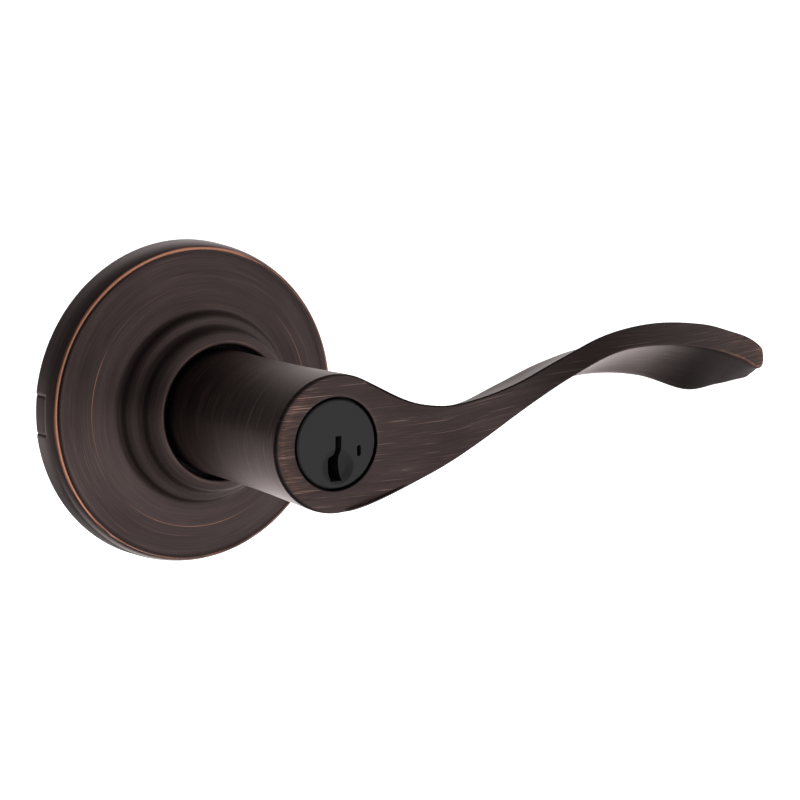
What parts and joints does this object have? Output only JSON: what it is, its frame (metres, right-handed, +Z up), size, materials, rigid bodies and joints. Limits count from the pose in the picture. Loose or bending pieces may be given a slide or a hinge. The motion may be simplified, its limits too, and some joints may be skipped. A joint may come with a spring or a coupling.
{
  "type": "keyed lever handle lockset",
  "caption": "Outside half of a keyed door lever set: round stepped rose, sprung wave-shaped lever, key cylinder in its face, spindle, tailpiece and mounting posts.",
  "frame": {"origin": "where the spindle's axis meets the door's face, at the back of the rose", "axes": "-Y out of the door along the spindle's axis, +X along the lever, +Z up"},
  "size_m": [0.1453, 0.1099, 0.0666],
  "materials": {
    "dark_bronze": "dark oil-rubbed bronze, brushed, with copper showing on the edges and in the brush marks",
    "black_plug": "matte black",
    "zinc_steel": "zinc-plated steel",
    "black_zinc": "black zinc-plated steel",
    "brass": "machined brass",
    "spring_steel": "bright spring steel",
    "nylon": "natural nylon"
  },
  "bodies": {
    "root": {"rose": "dark_bronze", "mounting_plate": "zinc_steel", "spring_cage": "black_zinc", "cage_screw_upper": "zinc_steel", "cage_screw_lower": "zinc_steel", "post_left": "zinc_steel", "post_right": "zinc_steel", "thrust_washer": "nylon", "return_spring": "spring_steel"},
    "lever": {"lever_handle": "dark_bronze", "drive_tube": "black_zinc", "spindle": "zinc_steel", "retaining_ring": "spring_steel", "cylinder_housing": "black_plug", "catch_spring": "spring_steel"},
    "catch": {"lever_catch": "zinc_steel"},
    "plug": {"key_plug": "black_plug", "plug_clip": "spring_steel", "tailpiece": "zinc_steel", "sidebar_spring_rear": "spring_steel", "sidebar_spring_front": "spring_steel", "pin_spring_1": "spring_steel", "pin_spring_2": "spring_steel", "pin_spring_3": "spring_steel", "pin_spring_4": "spring_steel", "pin_spring_5": "spring_steel"},
    "sidebar": {"sidebar": "brass"},
    "pin_set_1": {"pin_1": "brass", "rack_1": "zinc_steel"},
    "pin_set_2": {"pin_2": "brass", "rack_2": "zinc_steel"},
    "pin_set_3": {"pin_3": "brass", "rack_3": "zinc_steel"},
    "pin_set_4": {"pin_4": "brass", "rack_4": "zinc_steel"},
    "pin_set_5": {"pin_5": "brass", "rack_5": "zinc_steel"}
  },
  "joints": [
    {"name": "lever_turn", "type": "hinge", "parent": "root", "child": "lever", "pos_m": [0, 0, 0], "axis": [0, 1, 0], "range_deg": [-50, 50], "stiffness_Nm_per_rad": 1.5, "springref_deg": -3.44},
    {"name": "key_turn", "type": "hinge", "parent": "lever", "child": "plug", "pos_m": [0, 0, 0], "axis": [0, 1, 0], "range_deg": [-90, 90]},
    {"name": "catch_press", "type": "slide", "parent": "lever", "child": "catch", "axis": [0, 0, 1], "range_m": [0, 0.0024], "stiffness_N_per_m": 300, "springref_m": -0.002, "deforming": ["catch_spring"]},
    {"name": "sidebar_slide", "type": "slide", "parent": "plug", "child": "sidebar", "axis": [1, 0, 0], "range_m": [0, 0.0006]},
    {"name": "pin_lift_1", "type": "slide", "parent": "plug", "child": "pin_set_1", "axis": [0, 0, 1], "range_m": [0, 0.0028], "stiffness_N_per_m": 120, "springref_m": -0.0015, "deforming": ["pin_spring_1"]},
    {"name": "pin_lift_2", "type": "slide", "parent": "plug", "child": "pin_set_2", "axis": [0, 0, 1], "range_m": [0, 0.0028], "stiffness_N_per_m": 120, "springref_m": -0.0015, "deforming": ["pin_spring_2"]},
    {"name": "pin_lift_3", "type": "slide", "parent": "plug", "child": "pin_set_3", "axis": [0, 0, 1], "range_m": [0, 0.0028], "stiffness_N_per_m": 120, "springref_m": -0.0015, "deforming": ["pin_spring_3"]},
    {"name": "pin_lift_4", "type": "slide", "parent": "plug", "child": "pin_set_4", "axis": [0, 0, 1], "range_m": [0, 0.0028], "stiffness_N_per_m": 120, "springref_m": -0.0015, "deforming": ["pin_spring_4"]},
    {"name": "pin_lift_5", "type": "slide", "parent": "plug", "child": "pin_set_5", "axis": [0, 0, 1], "range_m": [0, 0.0028], "stiffness_N_per_m": 120, "springref_m": -0.0015, "deforming": ["pin_spring_5"]}
  ]
}
